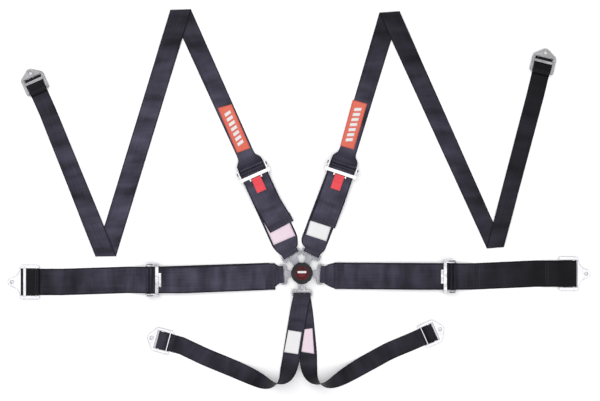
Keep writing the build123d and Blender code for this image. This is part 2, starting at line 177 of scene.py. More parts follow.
def section_path(origin, across, along, width, path, soften=1.2, step=1.0):
    """Edges of a strap whose side view is a path of (distance along, height) points."""
    sections = []
    for y, z in path:
        middle = origin + along * y
        middle = np.array([middle[0], middle[1], z])
        sections.append((middle - across * width / 2, middle + across * width / 2))
    return run(sections, step, soften, lift=False)


# ---------------------------------------------------------------- meshes
def make_object(name, points, faces, uv=None, smooth=True):
    """A mesh object from points in millimetres."""
    mesh = bpy.data.meshes.new(name)
    mesh.from_pydata([tuple(p) for p in np.array(points) * MM], [], faces)
    if uv is not None:
        layer = mesh.uv_layers.new(name="weave")
        for loop in mesh.loops:
            layer.data[loop.index].uv = uv[loop.vertex_index]
    for polygon in mesh.polygons:
        polygon.use_smooth = smooth
    mesh.validate()
    mesh.update()
    obj = bpy.data.objects.new(name, mesh)
    bpy.context.scene.collection.objects.link(obj)
    return obj


# Across a strap: places from an edge to the middle, and the share of the full thickness there.
# The selvages are slightly beaded.
EDGE_PLACES = [1, 0.985, 0.96, 0.93, 0.9, 0.84, 0.825, 0.81, 0.795, 0.78, 0.5, 0.25]
EDGE_THICK = [0, 0.72, 1.08, 1.1, 0.92, 1, 1.12, 0.9, 1.12, 1, 1, 1]
ACROSS = [-s for s in EDGE_PLACES] + [0] + EDGE_PLACES[::-1]
THICK = EDGE_THICK + [1] + EDGE_THICK[::-1]
SELVAGE_LANES = 4


def web(name, rows, thick=WEB_T, material="webbing", begins=0.0):
    """A woven strap from its edges: two faces, beaded selvages and closed ends.

    Its weave starts at a distance along, where it carries on from another piece.
    """
    left, right = rows[:, :3], rows[:, 3:]
    middle = (left + right) / 2
    tangent = np.gradient(middle, axis=0)
    spread = left - right
    normal = np.cross(tangent, spread)
    normal /= np.maximum(np.linalg.norm(normal, axis=1), 1e-9)[:, None]
    far = begins + distances(middle)
    width = np.linalg.norm(spread, axis=1)
    points, uv = [], []
    count = len(ACROSS)
    for i in range(len(rows)):
        for side in (1, -1):
            for s, share in zip(ACROSS, THICK):
                if side == -1 and share == 0:
                    continue
                base = middle[i] + spread[i] * s / 2
                points.append(base + normal[i] * (side * share * thick / 2))
                uv.append((s * width[i] / 2 * MM, far[i] * MM))
    ring = 2 * count - 2
    top = list(range(count))
    under = [0] + list(range(count, ring)) + [count - 1]
    faces = []
    for i in range(len(rows) - 1):
        a, b = i * ring, (i + 1) * ring
        for k in range(count - 1):
            faces.append((a + top[k], a + top[k + 1], b + top[k + 1], b + top[k]))
            faces.append((a + under[k + 1], a + under[k], b + under[k], b + under[k + 1]))
    last = (len(rows) - 1) * ring
    sides = len(faces)
    for base, flip in ((0, 1), (last, -1)):
        for k in range(count - 1):
            near = [top[k + 1], top[k], under[k], under[k + 1]]
            faces.append(tuple(base + j for j in list(dict.fromkeys(near))[::flip]))
    obj = make_object(name, points, faces, uv)
    for face in obj.data.polygons[sides:]:
        face.use_smooth = False
    for line in obj.data.edges:
        a, b = line.vertices
        line.use_edge_sharp = max(a, b) < ring or min(a, b) >= last
    obj.data.materials.append(MATERIALS[material])
    # The selvage lanes take a second, deeper black cloth: painted shade along the strap's edges.
    if material in SHADE_MATERIAL:
        obj.data.materials.append(MATERIALS[SHADE_MATERIAL[material]])
        per_row = 2 * (count - 1)
        for face in obj.data.polygons[:sides]:
            lane = (face.index % per_row) // 2
            face.material_index = int(lane < SELVAGE_LANES or lane >= count - 1 - SELVAGE_LANES)
    return obj


RIM_SHARE = 0.55  # a patch's thickness along its border


def fix_normals(obj):
    """Turn all faces of a closed piece outwards."""
    bm = bmesh.new()
    bm.from_mesh(obj.data)
    bmesh.ops.recalc_face_normals(bm, faces=bm.faces)
    bm.to_mesh(obj.data)
    bm.free()


def patch(name, near, far, low, thick, material, cells):
    """A thin sewn patch between two plan edges, with a rolled rim, lying on a strap."""
    nx, ny = cells
    points, uv = [], []
    across = np.linalg.norm(np.array(near[1]) - np.array(near[0]))
    length = np.linalg.norm(np.array(far[0]) - np.array(near[0]))
    for layer in (1, 0):
        for j in range(ny + 1):
            for i in range(nx + 1):
                s, t = i / nx, j / ny
                a = np.array(near[0]) * (1 - t) + np.array(far[0]) * t
                b = np.array(near[1]) * (1 - t) + np.array(far[1]) * t
                x, y = a * (1 - s) + b * s
                rim = min(i, nx - i, j, ny - j)
                lift = thick * layer * (RIM_SHARE if rim == 0 else 1.0)
                points.append((x, y, low + lift + ripple(x, y)))
                uv.append(((s - 0.5) * across * MM, t * length * MM))
    faces = []
    size = (nx + 1) * (ny + 1)
    for j in range(ny):
        for i in range(nx):
            a = j * (nx + 1) + i
            quad = (a, a + 1, a + nx + 2, a + nx + 1)
            faces.append(quad)
            faces.append(tuple(size + k for k in quad[::-1]))
    ring = [i for i in range(nx)] + [j * (nx + 1) + nx for j in range(ny)]
    ring += [ny * (nx + 1) + i for i in range(nx, 0, -1)] + [j * (nx + 1) for j in range(ny, 0, -1)]
    for k, a in enumerate(ring):
        b = ring[(k + 1) % len(ring)]
        faces.append((b, a, size + a, size + b))
    obj = make_object(name, points, faces, uv)
    obj.data.materials.append(MATERIALS[material])
    fix_normals(obj)
    return obj


STITCH = 3.4
STITCH_PITCH = 4.4
# Along a stitch: place from its middle, and share of its full radius.
STITCH_SHAPE = ((-1, 0.25), (-0.6, 0.9), (0, 1.0), (0.6, 0.9), (1, 0.25))
STITCH_SIDES = 6


def stitches(name, lines, material, radius=0.38):
    """Rows of raised stitches along lines of (x, y, z) points."""
    points, faces = [], []
    for line in lines:
        line = np.array(line, float)
        far = distances(line)
        for at in np.arange(STITCH_PITCH / 2, far[-1], STITCH_PITCH):
            ends = []
            for d in (at - STITCH / 2, at + STITCH / 2):
                ends.append(np.array([np.interp(d, far, line[:, k]) for k in range(3)]))
            middle = (ends[0] + ends[1]) / 2
            way = ends[1] - ends[0]
            length = np.linalg.norm(way)
            if length < 1e-6:
                continue
            way /= length
            side = np.cross(way, UP)
            side /= max(np.linalg.norm(side), 1e-9)
            base = len(points)
            for share, size in STITCH_SHAPE:
                sink = 0.5 * share * share
                for turn in range(STITCH_SIDES):
                    angle = turn * 2 * math.pi / STITCH_SIDES
                    out, up = math.cos(angle) * size, math.sin(angle) * size * 0.8 - sink
                    points.append(middle + way * (share * length / 2) + (side * out + UP * up) * radius)
            last = base + (len(STITCH_SHAPE) - 1) * STITCH_SIDES
            for row in range(base, last, STITCH_SIDES):
                for turn in range(STITCH_SIDES):
                    a, b = row + turn, row + (turn + 1) % STITCH_SIDES
                    faces.append((a, b, b + STITCH_SIDES, a + STITCH_SIDES))
            faces.append(tuple(base + k for k in reversed(range(STITCH_SIDES))))
            faces.append(tuple(last + k for k in range(STITCH_SIDES)))
    obj = make_object(name, points, faces)
    obj.data.materials.append(MATERIALS[material])
    fix_normals(obj)
    return obj


# ---------------------------------------------------------------- materials
def nodes_of(name):
    """A new material, its node tree and its shader."""
    material = bpy.data.materials.new(name)
    material.use_nodes = True
    tree = material.node_tree
    shader = next(n for n in tree.nodes if n.type == "BSDF_PRINCIPLED")
    return material, tree, shader


def join(tree, source, target):
    """Link a socket to a socket."""
    tree.links.new(source, target)


def maths(tree, operation, first, second=None, third=None):
    """A math node on sockets or numbers, and its output."""
    node = tree.nodes.new("ShaderNodeMath")
    node.operation = operation
    for k, value in enumerate((first, second, third)):
        if value is None:
            continue
        if hasattr(value, "is_linked"):
            join(tree, value, node.inputs[k])
        else:
            node.inputs[k].default_value = value
    return node.outputs[0]


def noise_node(tree, vector, scale, detail=2.0, rough=0.5):
    """A noise texture's value."""
    node = tree.nodes.new("ShaderNodeTexNoise")
    node.inputs["Scale"].default_value = scale
    node.inputs["Detail"].default_value = detail
    node.inputs["Roughness"].default_value = rough
    join(tree, vector, node.inputs["Vector"])
    return node.outputs["Fac"]


def ramp(tree, factor, stops):
    """A colour ramp's output."""
    node = tree.nodes.new("ShaderNodeValToRGB")
    join(tree, factor, node.inputs["Fac"])
    elements = node.color_ramp.elements
    while len(elements) > len(stops):
        elements.remove(elements[-1])
    while len(elements) < len(stops):
        elements.new(1.0)
    for element, (place, colour) in zip(elements, stops):
        element.position = place
        element.color = (*colour, 1.0)
    return node.outputs["Color"]


def bump(tree, height, strength, distance, normal=None):
    """A bump node's normal."""
    node = tree.nodes.new("ShaderNodeBump")
    node.inputs["Strength"].default_value = strength
    node.inputs["Distance"].default_value = distance
    join(tree, height, node.inputs["Height"])
    if normal is not None:
        join(tree, normal, node.inputs["Normal"])
    return node.outputs["Normal"]


def scaled(tree, vector, size):
    """A vector stretched along each axis."""
    node = tree.nodes.new("ShaderNodeMapping")
    node.inputs["Scale"].default_value = size
    join(tree, vector, node.inputs["Vector"])
    return node.outputs["Vector"]


# Painted shade: the webbing's colour darkens with distance from this lit centre, standing in for the
# falloff of the light.
LIT_CENTRE = (-0.16, 0.32, 0.0)
FALLOFF_RANGE = {"From Min": 0.16, "From Max": 1.02, "To Min": 1.0, "To Max": 0.06}


def painted_falloff_shade(tree, colour):
    """A cloth colour darkened with distance from a lit centre towards the ends of the straps: painted
    shade standing in for the falloff of the light.
    """
    place = tree.nodes.new("ShaderNodeTexCoord").outputs["Object"]
    reach = tree.nodes.new("ShaderNodeVectorMath")
    reach.operation = "DISTANCE"
    join(tree, scaled(tree, place, (1.0, 1.35, 0.0)), reach.inputs[0])
    reach.inputs[1].default_value = LIT_CENTRE
    fall = tree.nodes.new("ShaderNodeMapRange")
    fall.interpolation_type = "SMOOTHSTEP"
    for socket, value in FALLOFF_RANGE.items():
        fall.inputs[socket].default_value = value
    join(tree, reach.outputs["Value"], fall.inputs["Value"])
    darkened = tree.nodes.new("ShaderNodeVectorMath")
    darkened.operation = "SCALE"
    join(tree, colour, darkened.inputs[0])
    join(tree, fall.outputs["Result"], darkened.inputs["Scale"])
    return darkened.outputs["Vector"]


def woven(name, dark, light, pitch, pick, roughness, sheen, depth=0.00022, lustre=0.3, painted_falloff=False):
    """Woven cloth whose ribs run along the strap, drawn in the strap's own metres."""
    material, tree, shader = nodes_of(name)
    uv = tree.nodes.new("ShaderNodeUVMap")
    uv.uv_map = "weave"
    split = tree.nodes.new("ShaderNodeSeparateXYZ")
    place = uv.outputs["UV"]
    join(tree, place, split.inputs[0])
    across, along = split.outputs["X"], split.outputs["Y"]
    lane = maths(tree, "DIVIDE", across, pitch)
    number = maths(tree, "FLOOR", lane)
    inside = maths(tree, "SUBTRACT", lane, number)
    arch = maths(tree, "SINE", maths(tree, "MULTIPLY", inside, math.pi))
    odd = maths(tree, "MULTIPLY", maths(tree, "MODULO", maths(tree, "ADD", number, 1000.0), 2.0), 2.0)
    lean = maths(tree, "MULTIPLY", inside, maths(tree, "SUBTRACT", odd, 1.0))
    shift = maths(tree, "MULTIPLY", lean, 0.9)
    turn = maths(tree, "ADD", maths(tree, "DIVIDE", along, pick), shift)
    yarn = maths(tree, "ABSOLUTE", maths(tree, "SINE", maths(tree, "MULTIPLY", turn, math.pi)))
    yarn = maths(tree, "MULTIPLY_ADD", yarn, 0.55, 0.45)
    height = maths(tree, "MULTIPLY", maths(tree, "POWER", arch, 0.6), yarn)
    streak = noise_node(tree, scaled(tree, place, (420.0, 5.0, 1.0)), 1.0, 3.0)
    cloud = noise_node(tree, scaled(tree, place, (14.0, 7.0, 1.0)), 1.0, 3.0)
    band = noise_node(tree, scaled(tree, place, (7.0, 24.0, 1.0)), 1.0, 2.0)
    # The yarn height also enters the colour, darker in the grooves between yarns: painted shade.
    mixed = maths(tree, "MULTIPLY_ADD", height, 0.35, maths(tree, "MULTIPLY", streak, 0.5))
    mixed = maths(tree, "MULTIPLY_ADD", cloud, 0.9, maths(tree, "SUBTRACT", mixed, 0.4))
    # The band noise, scaled by lustre, paints broad lighter and darker bands along the strap: painted
    # sheen.
    shade = maths(tree, "MULTIPLY_ADD", band, lustre, maths(tree, "SUBTRACT", mixed, lustre / 2))
    colour = ramp(tree, shade, [(0.12, dark), (0.85, light)])
    # Where asked, painted shade darkens the colour away from the lit centre.
    join(tree, painted_falloff_shade(tree, colour) if painted_falloff else colour, shader.inputs["Base Color"])
    join(tree, bump(tree, height, 0.55, depth), shader.inputs["Normal"])
    shader.inputs["Roughness"].default_value = roughness
    shader.inputs["Sheen Weight"].default_value = sheen
    shader.inputs["Sheen Roughness"].default_value = 0.45
    shader.inputs["Specular IOR Level"].default_value = 0.12
    return material


def softened(tree, radius):
    """A node that rounds the look of a shape's edges."""
    soft = tree.nodes.new("ShaderNodeBevel")
    soft.samples = 6
    soft.inputs["Radius"].default_value = radius
    return soft


def painted_edge_shading(tree, soft, colour, rim):
    """A colour that changes to another along a shape's edges: painted shade on the metal edges and a
    painted highlight on the knob's edges.
    """
    shape = tree.nodes.new("ShaderNodeNewGeometry")
    match = tree.nodes.new("ShaderNodeVectorMath")
    match.operation = "DOT_PRODUCT"
    join(tree, soft.outputs["Normal"], match.inputs[0])
    join(tree, shape.outputs["Normal"], match.inputs[1])
    amount = maths(tree, "MULTIPLY", maths(tree, "SUBTRACT", 1.0, match.outputs["Value"]), 5.0)
    mix = tree.nodes.new("ShaderNodeMix")
    mix.data_type = "RGBA"
    join(tree, maths(tree, "MINIMUM", amount, 1.0), mix.inputs[0])
    join(tree, colour, mix.inputs[6])
    mix.inputs[7].default_value = (*rim, 1.0)
    return mix.outputs[2]


def metal(name, dark, light, roughness, brush, bevel, marks, rim):
    """Plated or brushed metal with softened edges, fine marks and uneven gloss."""
    material, tree, shader = nodes_of(name)
    place = tree.nodes.new("ShaderNodeTexCoord").outputs["Object"]
    grain = noise_node(tree, scaled(tree, place, brush), 1.0, 3.0, 0.6)
    cloud = noise_node(tree, place, 55.0, 3.0)
    blotch = maths(tree, "MULTIPLY_ADD", cloud, 0.6, maths(tree, "MULTIPLY", grain, 0.4))
    gloss = maths(tree, "MULTIPLY_ADD", blotch, marks, roughness - marks * 0.5)
    limit = maths(tree, "MAXIMUM", gloss, 0.06)
    join(tree, limit, shader.inputs["Roughness"])
    soft = softened(tree, bevel)
    colour = ramp(tree, blotch, [(0.3, dark), (0.7, light)])
    # An edge colour, where given, is painted along the edges as shade.
    join(tree, painted_edge_shading(tree, soft, colour, rim) if rim else colour, shader.inputs["Base Color"])
    speck = noise_node(tree, place, 420.0, 2.0)
    fine = maths(tree, "MULTIPLY_ADD", grain, 0.6, maths(tree, "MULTIPLY", speck, 0.4))
    join(tree, bump(tree, fine, 0.12, 0.0002, soft.outputs["Normal"]), shader.inputs["Normal"])
    shader.inputs["Metallic"].default_value = 1.0
    return material


def plastic(name, dark, light, roughness, grain, bite, rim):
    """Moulded plastic or paint with a fine grain and softened edges."""
    material, tree, shader = nodes_of(name)
    place = tree.nodes.new("ShaderNodeTexCoord").outputs["Object"]
    cloud = noise_node(tree, place, 40.0, 3.0)
    soft = softened(tree, 0.0012)
    colour = ramp(tree, cloud, [(0.3, dark), (0.7, light)])
    # An edge colour, where given, is painted along the edges as a highlight.
    join(tree, painted_edge_shading(tree, soft, colour, rim) if rim else colour, shader.inputs["Base Color"])
    speck = noise_node(tree, place, grain, 2.0)
    join(tree, bump(tree, speck, bite, 0.0002, soft.outputs["Normal"]), shader.inputs["Normal"])
    gloss = maths(tree, "MULTIPLY_ADD", cloud, 0.2, roughness - 0.1)
    join(tree, gloss, shader.inputs["Roughness"])
    shader.inputs["Specular IOR Level"].default_value = 0.22
    return material


def thread(name, dark, light):
    """Twisted sewing thread."""
    material, tree, shader = nodes_of(name)
    place = tree.nodes.new("ShaderNodeTexCoord").outputs["Object"]
    twist = noise_node(tree, place, 900.0, 2.0)
    join(tree, ramp(tree, twist, [(0.3, dark), (0.7, light)]), shader.inputs["Base Color"])
    join(tree, bump(tree, twist, 0.3, 0.0001), shader.inputs["Normal"])
    shader.inputs["Roughness"].default_value = 0.55
    shader.inputs["Sheen Weight"].default_value = 0.2
    return material


BLACK, BLACK_LIT = (0.008, 0.0074, 0.0122), (0.082, 0.077, 0.117)
# A deeper black, painted as shade on the raised bands by the anchors, along the strap edges and in the
# grip wraps' valleys.
SHADE_BLACK, SHADE_BLACK_LIT = (0.005, 0.0048, 0.0075), (0.026, 0.024, 0.037)
RED, RED_LIT = (0.6, 0.045, 0.055), (0.88, 0.1, 0.12)
PATCH_RED, PATCH_RED_LIT = (0.56, 0.1, 0.065), (0.72, 0.18, 0.125)
BAR_WHITE, BAR_WHITE_LIT = (0.66, 0.64, 0.63), (0.78, 0.77, 0.76)
WHITE, WHITE_LIT = (0.66, 0.655, 0.66), (0.78, 0.775, 0.78)
PINK, PINK_LIT = (0.67, 0.53, 0.61), (0.79, 0.66, 0.73)
# name: dark and light colours, rib pitch, pick, roughness, sheen, then the rest by name
CLOTHS = {
    "webbing": (BLACK, BLACK_LIT, 0.0021, 0.0019, 0.55, 0.025, {"lustre": 1.3, "painted_falloff": True}),
    "webbing_shaded": (SHADE_BLACK, SHADE_BLACK_LIT, 0.0021, 0.0019, 0.55, 0.015, {"painted_falloff": True}),
    "edge_and_valley_shade": (SHADE_BLACK, SHADE_BLACK_LIT, 0.0014, 0.0016, 0.6, 0.015, {"painted_falloff": True}),
    "red_webbing": (RED, RED_LIT, 0.0018, 0.0016, 0.5, 0.2, {}),
    "red_patch": (PATCH_RED, PATCH_RED_LIT, 0.0009, 0.0009, 0.55, 0.12, {"depth": 0.0001}),
    "patch_white": (BAR_WHITE, BAR_WHITE_LIT, 0.0009, 0.0009, 0.6, 0.1, {"depth": 0.0001}),
    "label_white": (WHITE, WHITE_LIT, 0.0006, 0.0006, 0.6, 0.04, {"depth": 0.00005}),
    "label_pink": (PINK, PINK_LIT, 0.0006, 0.0006, 0.6, 0.04, {"depth": 0.00005}),
}
# name: dark and light greys, roughness, grain along each axis, edge radius, marks, edge colour painted on
# as shade
GREYS = {
    "bright_steel": ((0.78, 0.78, 0.8), (0.95, 0.95, 0.96), 0.2, (260, 260, 40), 0.001, 0.2, None),
    "chrome": ((0.2, 0.2, 0.22), (0.5, 0.5, 0.53), 0.2, (120, 120, 60), 0.0016, 0.2, (0.05, 0.05, 0.06)),
    "brushed_steel": (
        (0.2, 0.2, 0.23), (0.38, 0.38, 0.42), 0.3, (900, 60, 60), 0.0016, 0.2, (0.06, 0.06, 0.08)),
    "worn_steel": (
        (0.22, 0.22, 0.25), (0.95, 0.95, 0.97), 0.22, (90, 90, 60), 0.0014, 0.3, (0.16, 0.16, 0.19)),
    "grip_steel": (
        (0.1, 0.1, 0.11), (0.3, 0.3, 0.32), 0.28, (700, 700, 700), 0.0012, 0.2, (0.04, 0.04, 0.05)),
    # The same zinc coloured darker for the shoulder brackets: a painted dark reflection.
    "zinc_dark_reflection": (
        (0.2, 0.195, 0.2), (0.42, 0.41, 0.42), 0.3, (300, 300, 60), 0.0018, 0.2, (0.06, 0.06, 0.065)),
    "zinc": ((0.6, 0.6, 0.63), (0.82, 0.82, 0.85), 0.26, (300, 300, 60), 0.0018, 0.2, (0.13, 0.13, 0.15)),
    "inner_steel": ((0.3, 0.3, 0.31), (0.46, 0.46, 0.48), 0.35, (200, 200, 60), 0.0004, 0.2, None),
}
# name: dark and light colours, roughness, grain, depth of grain, edge colour painted on as a highlight
PAINTS = {
    "lock_black": ((0.008, 0.008, 0.009), (0.02, 0.02, 0.022), 0.38, 1400.0, 0.1, (0.09, 0.09, 0.1)),
    "base_black": ((0.015, 0.015, 0.017), (0.035, 0.035, 0.038), 0.5, 900.0, 0.1, None),
    "emblem": ((0.025, 0.001, 0.002), (0.055, 0.002, 0.004), 0.22, 700.0, 0.04, None),
    "emblem_red": ((0.12, 0.004, 0.008), (0.22, 0.007, 0.012), 0.25, 700.0, 0.04, None),
    "emblem_white": ((0.62, 0.61, 0.61), (0.74, 0.73, 0.73), 0.35, 700.0, 0.04, None),
}
THREADS = {
    "thread_black": ((0.012, 0.012, 0.016), (0.05, 0.048, 0.062)),
    "thread_red": ((0.4, 0.01, 0.012), (0.7, 0.03, 0.03)),
    "thread_white": ((0.55, 0.55, 0.56), (0.8, 0.8, 0.81)),
}
MATERIALS = {name: woven(name, *look[:-1], **look[-1]) for name, look in CLOTHS.items()}
MATERIALS |= {name: thread(name, *look) for name, look in THREADS.items()}
MATERIALS |= {name: metal(name, *look) for name, look in GREYS.items()}
MATERIALS |= {name: plastic(name, *look) for name, look in PAINTS.items()}
SHADE_MATERIAL = {"webbing": "edge_and_valley_shade"}


def paint(name, node_names):
    """Give CAD nodes a finish."""
    for node in node_names:
        obj = frame["nodes"][node]
        obj.data.materials.clear()
        obj.data.materials.append(MATERIALS[name])


SIDES = ("left", "right")
ADJUSTERS = ("shoulder_left", "shoulder_right", "lap_left", "lap_right")
paint("lock_black", ["release_knob"])
paint("base_black", ["lock_base", "lock_housing"])
paint("emblem", ["knob_emblem"])
INNER_PARTS = ["lock_post", "lock_screws", "fixed_tongue_pin", "return_spring", "latch_plate", "cam_rotor"]
paint("inner_steel", INNER_PARTS)
paint("brushed_steel", [f"{strap}_tongue_{side}" for strap in ("shoulder", "lap") for side in SIDES])
paint("chrome", ["crotch_tongue"])
paint("bright_steel", [f"shoulder_{side}_adjuster_frame" for side in SIDES])
paint("worn_steel", [f"lap_{side}_adjuster_frame" for side in SIDES])
paint("grip_steel", [f"{name}_grip_bar" for name in ADJUSTERS])
# The shoulder brackets take the darker zinc: painted dark reflection.
paint("zinc_dark_reflection", [f"shoulder_{side}_bracket" for side in SIDES])
paint("zinc", [f"{strap}_{side}_bracket" for strap in ("lap", "crotch") for side in SIDES])


# ---------------------------------------------------------------- sewing on a strap
def skin(rows, at, s, rise=MID):
    """A point on a strap's upper face, at a distance along it and a share across it."""
    far = travelled(rows)
    row = np.array([np.interp(at, far, rows[:, k]) for k in range(6)])
    before = np.array([np.interp(at - 1, far, rows[:, k]) for k in range(6)])
    after = np.array([np.interp(at + 1, far, rows[:, k]) for k in range(6)])
    spread = row[:3] - row[3:]
    normal = np.cross((after - before)[:3] + (after - before)[3:], spread)
    normal /= max(np.linalg.norm(normal), 1e-9)
    if normal[2] < 0:
        normal = -normal
    return (row[:3] + row[3:]) / 2 + spread * s / 2 + normal * (rise + 0.05)


def seam_across(rows, at, reach=0.88):
    """A line of sewing across a strap."""
    return [skin(rows, at, s) for s in np.linspace(-reach, reach, 24)]


def seam_along(rows, start, end, s):
    """A line of sewing along a strap."""
    return [skin(rows, at, s) for at in np.arange(start, end + 0.1, 3.0)]


def nearest(rows, x, y):
    """Distance along a strap of the row closest to a plan point."""
    middle = (rows[:, :2] + rows[:, 3:5]) / 2
    return travelled(rows)[int(np.argmin(np.linalg.norm(middle - np.array([x, y]), axis=1)))]


def sew(name, lines, obj, body, slot="black_webbing"):
    """The sewing of a piece, which rides on the same body in the same finish."""
    sewing = stitches(name, lines, "thread_red" if slot == "red_webbing" else "thread_black")
    for piece in (obj, sewing):
        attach(piece, body)
    return sewing


# ---------------------------------------------------------------- anchors
def bend_end(obj, name):
    """A piece by an anchor, with its placing baked into its mesh."""
    pivot, across, along = local_frame(name + "_anchor_swing", 1)
    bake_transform(obj)


STRAP_ENDS = {}  # a strap's length and last (left, right) points, for the piece that carries on
START = {"band": 75.0, "over": 75.0, "through": 40.0}  # how far before its swing a last piece begins
SWING_FROM_BAR = {SLIM: -23.0, WIDE: -33.0}


def anchor_start(name, width, lacing):
    """The (left, right) points before a bracket where a strap's last piece begins."""
    pivot, across, along = local_frame(name + "_anchor_swing", 1)
    last = pivot - along * START[lacing]
    return edge((last - across * width / 2)[:2], (last + across * width / 2)[:2], BAR_MID)


def anchor_end(name, width, lacing, cad):
    """The last stretch of a strap, laced through its bracket."""
    bar = SWING_FROM_BAR[width]
    pivot, across, along = local_frame(name + "_anchor_swing", 1)
    centre = pivot - along * bar

    def laced(path, soften=1.2):
        return section_path(centre, across, along, width, path, soften)

    start = START[lacing]
    if lacing == "band":
        under = [(bar - start, BAR_MID), (bar - 12, BAR_MID), (bar, BAR_MID), (12.5, BAR_MID)]
        turned = [(-7.2, 2.5), (-6.1, 3.6), (-5.9, 5.2), (-6.9, 7.0), (-10, 8.0), (-15, 8.3)]
        end = bar - (3 if width == WIDE else 9)
        turned += [(bar + 2, 8.1), (end + 2, 8.0), (end - 2, 7.5), (end - 4.6, 6.2)]
        turned += [(end - 6.2, 4.4), (end - 6.8, 3.2), (end - 7, 2.5)]
        pieces = [("run", laced(under)), ("band", laced(turned, 0.8))]
    elif lacing == "over":
        tail = [(bar - start, BAR_MID), (bar - 62, BAR_MID), (bar - 52, 2.9), (bar - 14, 3.4)]
        tail += [(bar - 5, 6.0), (bar, 7.2), (bar + 8, 7.9), (-5, 8.4), (2, 8.4), (6.0, 7.4)]
        tail += [(7.9, 5.0), (8.0, 2.4), (7.3, 0.95), (4, 0.9), (bar - 42, 0.9)]
        pieces = [("run", laced(tail))]
    else:
        tail = [(bar - start, BAR_MID), (bar - 6, BAR_MID), (bar + 1, 0.95), (bar + 4.5, 2.6)]
        tail += [(bar + 8, 5.2), (bar + 12, 6.9), (-6, 8.0), (-2.5, 8.6), (0.5, 7.9), (3, 8.3)]
        tail += [(5.9, 7.4), (7.9, 5.0), (7.9, 2.4), (7.2, 0.95), (4, 0.9), (-14, 0.9)]
        pieces = [("run", laced(tail, 0.9))]
    made = []
    length, *last = STRAP_ENDS[name]
    for part, rows in pieces:
        rows = matched_rows(rows, 0, last)
        # The turned-back band takes a deeper black: painted shade on the raised band by the anchor.
        cloth = "webbing" if part == "run" else "webbing_shaded"
        obj = web(f"{name}_end_{part}", rows, material=cloth, begins=length)
        length += travelled(rows)[-1]
        made.append((obj, rows))
    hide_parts(cad)
    if lacing == "band":
        rows = made[1][1]
        length = travelled(rows)[-1]
        lines = [seam_across(rows, length - 9), seam_across(rows, length - 14)]
        lines += [seam_along(rows, length - 14, length - 9, s) for s in (-0.88, 0.88)]
    else:
        rows = made[0][1]
        where = start - 46 if lacing == "over" else start - 14
        lines = [seam_across(rows, where), seam_across(rows, where + 6)]
    sewing = stitches(f"{name}_end_sewing", lines, "thread_black")
    for obj, rows in made:
        bend_end(obj, name)
    bend_end(sewing, name)


# ---------------------------------------------------------------- strap runs
def adjuster_frame(name):
    """(cross bar centre, across, along) of an adjuster."""
    pivot, across, along = local_frame(name + "_adjuster_tilt", -1)
    return pivot - along * PIVOT_Y, across, along


def station(where, along_mm, width, z):
    """A strap's (left, right) points on an adjuster's own line."""
    centre, across, along = where
    middle = centre + along * along_mm
    middle = np.array([middle[0], middle[1], z])
    return middle - across * width / 2, middle + across * width / 2


def between(near, far, part, z):
    """A pair of points part of the way between two others, at a height."""
    left = np.array(near[0][:2]) * (1 - part) + np.array(far[0][:2]) * part
    right = np.array(near[1][:2]) * (1 - part) + np.array(far[1][:2]) * part
    return edge(left, right, z)


HEM, HEM_LOW, HEM_HIGH = 26.0, 3.15, 4.9  # a tail's hem: its length, and both its layers' heights
LEVEL_FROM, LEVEL_TO = -80, 33  # a strap is level between these, measured on from the cross bar
# Past the level stretch: (distance on from the cross bar, width, height).
SLIM_FALL = (
    (37, WIDE, 9.0), (41, WIDE - 1, 9.2), (45, WIDE - 5, 8.1), (50, 63, 6.4), (55, 54, 4.7),
    (62, SLIM, 2.9), (78, SLIM, MID))
WIDE_FALL = ((37, WIDE, 8.9), (60, WIDE, 4.9), (84, WIDE, MID))


def threaded(name, tail, tail_angle, fall):
    """A strap's edges from its hemmed tail end to where it lies flat past its adjuster."""
    where = adjuster_frame(name)
    end = square(tail, tail_angle, WIDE, HEM_LOW)
    inside = square(np.array(tail) + heading(tail_angle)[:2] * HEM, tail_angle, WIDE, HEM_HIGH)
    above = square(tail, tail_angle, WIDE, HEM_HIGH)
    hem = run([inside, above], 4.0, 1.0, lift=False)
    turn = crease(end[0], end[1], tail_angle + 180, HEM_LOW, HEM_HIGH)[::-1]
    level = [station(where, y, WIDE, PASS_MID) for y in (LEVEL_FROM, LEVEL_TO)]
    through = run([end] + level, 5.0, 3.0)
    after = run([level[-1]] + [station(where, *row) for row in fall], 1.5, 1.4)
    return np.concatenate([hem, turn, through, after[1:]])


def strap_piece(name, rows, cad):
    """A strap, with its end noted for the piece that carries on from it."""
    obj = web(name + "_webbing", rows)
    STRAP_ENDS[name] = (travelled(rows)[-1], rows[-1, :3], rows[-1, 3:])
    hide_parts(*cad)
    return obj


def box_seam(rows, start, end, s):
    """A rectangle of sewing between two distances along a strap."""
    lines = [seam_across(rows, at, s) for at in (start, end)]
    return lines + [seam_along(rows, start, end, place) for place in (-s, s)]


